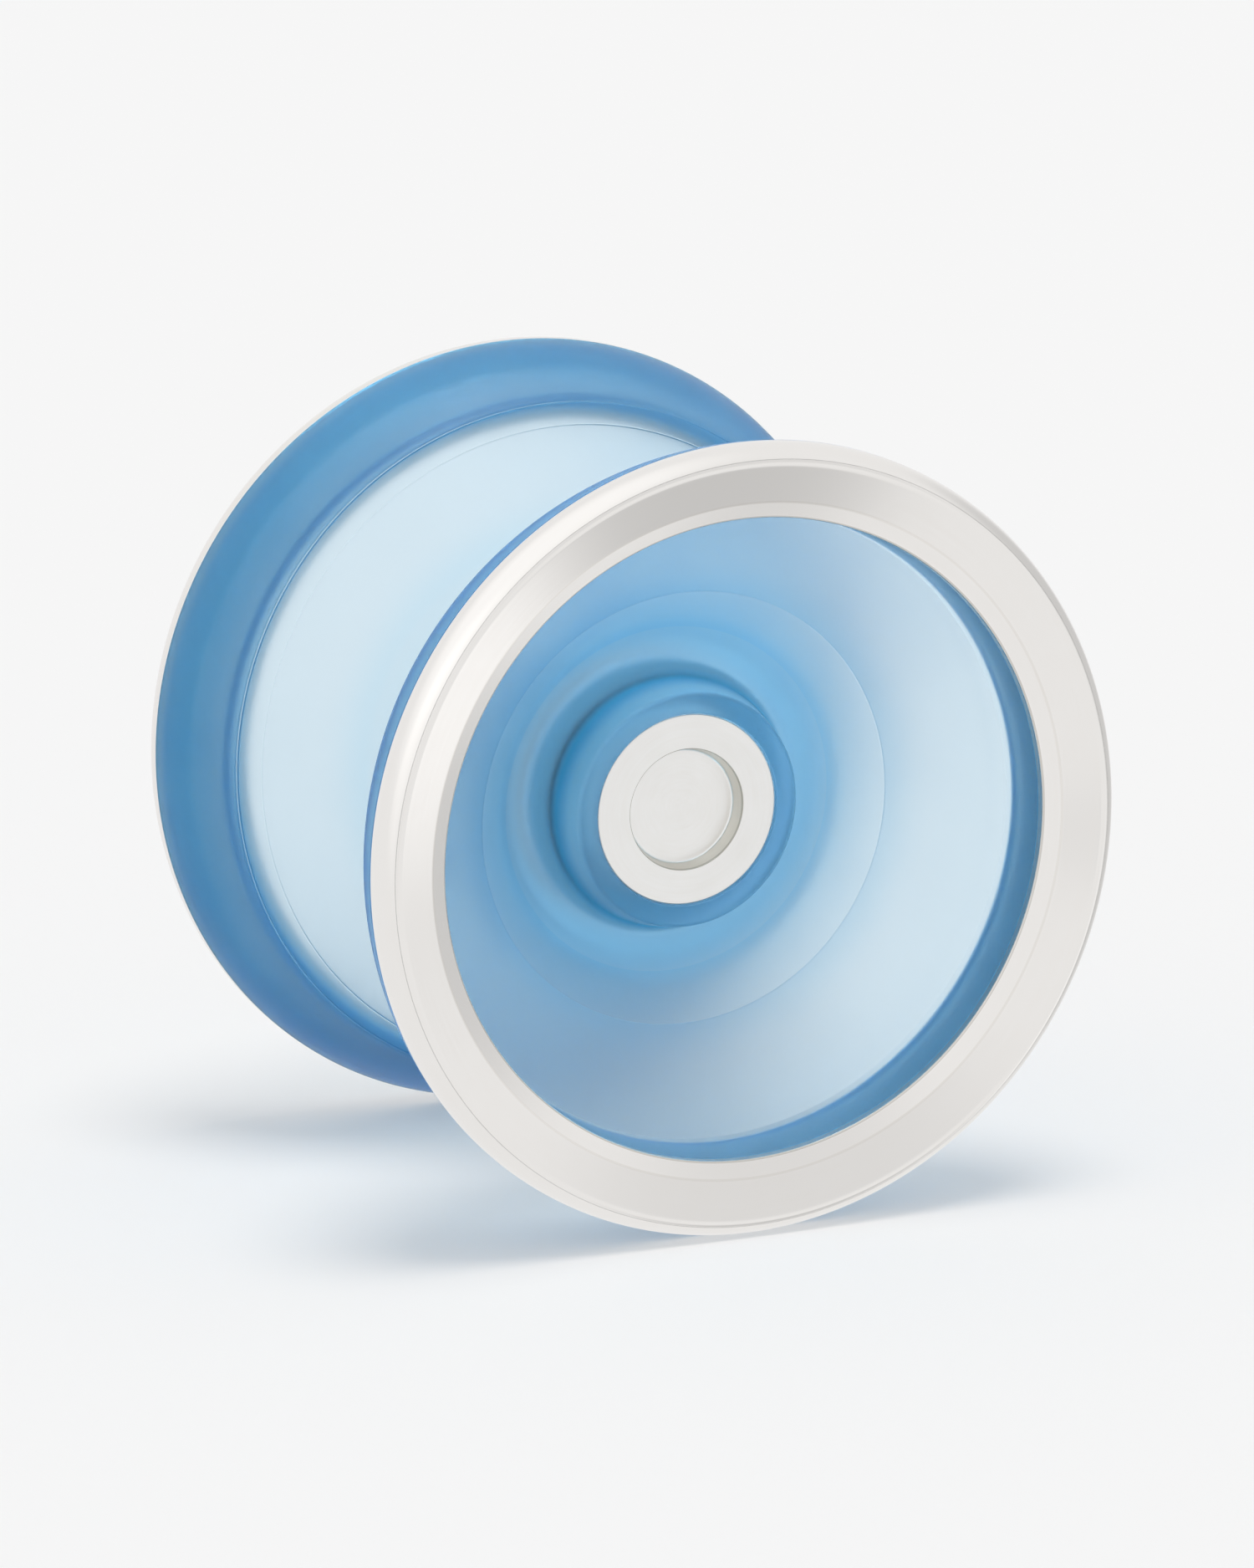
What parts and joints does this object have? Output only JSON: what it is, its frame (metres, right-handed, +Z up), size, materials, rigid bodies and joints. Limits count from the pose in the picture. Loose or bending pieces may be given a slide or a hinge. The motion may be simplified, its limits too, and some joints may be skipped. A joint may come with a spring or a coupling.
{
  "type": "yo-yo",
  "caption": "Wide V-shaped yo-yo: frosted translucent halves with metal rim rings and hubs on a ball bearing.",
  "frame": {"origin": "middle of the yo-yo, on the spin axis, midway between the halves", "axes": "+Y along the spin axis towards the rear half, +Z up as it stands on its rims, +X sideways"},
  "size_m": [0.056, 0.0432, 0.056],
  "materials": {
    "polycarbonate": "frosted translucent blue polycarbonate",
    "rim_steel": "fine satin, turned",
    "hub_aluminium": "bead-blasted satin",
    "silicone": "soft translucent white silicone",
    "axle_steel": "blackened steel thread",
    "bearing_steel": "ground and polished",
    "ball_steel": "mirror polished",
    "cage_steel": "pressed stainless"
  },
  "bodies": {
    "halves": {"front_body": "polycarbonate", "rear_body": "polycarbonate", "front_rim_ring": "rim_steel", "rear_rim_ring": "rim_steel", "front_hub": "hub_aluminium", "rear_hub": "hub_aluminium", "front_response_pad": "silicone", "rear_response_pad": "silicone", "axle": "axle_steel", "bearing_inner_race": "bearing_steel"},
    "string_spool": {"bearing_outer_race": "bearing_steel", "front_bearing_shield": "cage_steel", "rear_bearing_shield": "cage_steel", "front_snap_ring": "bearing_steel", "rear_snap_ring": "bearing_steel"},
    "ball_set": {"bearing_balls": "ball_steel", "bearing_cage": "cage_steel"}
  },
  "joints": [
    {"name": "spool_spin", "type": "hinge", "parent": "halves", "child": "string_spool", "pos_m": [0, 0, 0], "axis": [0, 1, 0], "continuous": true},
    {"name": "cage_orbit", "type": "hinge", "parent": "halves", "child": "ball_set", "pos_m": [0, 0, 0], "axis": [0, 1, 0], "continuous": true}
  ],
  "couplings": [
    {"joint": "cage_orbit", "follows": "spool_spin", "ratio": 0.5833}
  ]
}
